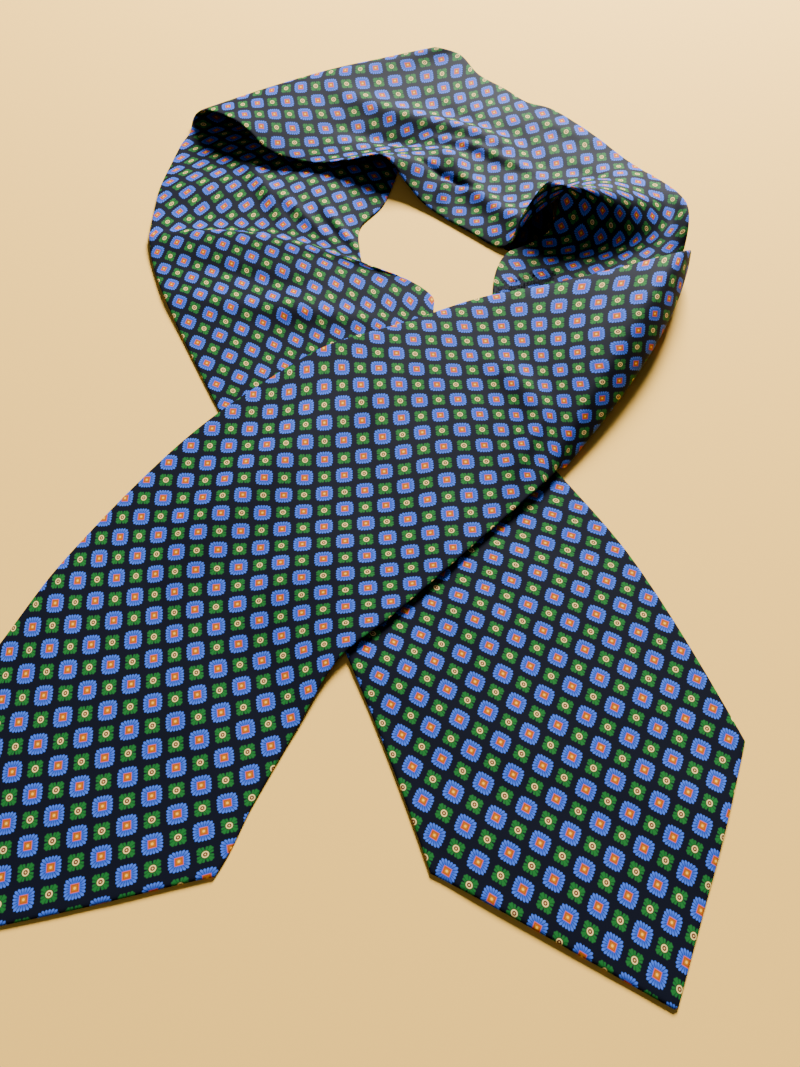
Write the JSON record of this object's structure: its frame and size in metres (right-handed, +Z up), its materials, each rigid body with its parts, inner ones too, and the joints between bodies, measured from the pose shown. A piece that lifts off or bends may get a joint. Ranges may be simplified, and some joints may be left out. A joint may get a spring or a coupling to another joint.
{
  "type": "silk cravat",
  "caption": "Silk cravat, a bias-cut band with pointed ends, dropped on a surface in an open loop with its tails crossed.",
  "frame": {"origin": "middle of the cravat's bounding box on the plane of the surface that it lies on", "axes": "+Z up from the surface; +Y away from the viewer, from the two pointed tails towards the neck fold"},
  "size_m": [0.3854, 0.6368, 0.0312],
  "materials": {
    "silk": "navy silk twill with a soft sheen and a small printed foulard repeat"
  },
  "bodies": {
    "root": {"right_tail": "silk", "left_stretch": "silk", "neck_stretch": "silk", "front_tail": "silk"}
  },
  "joints": []
}
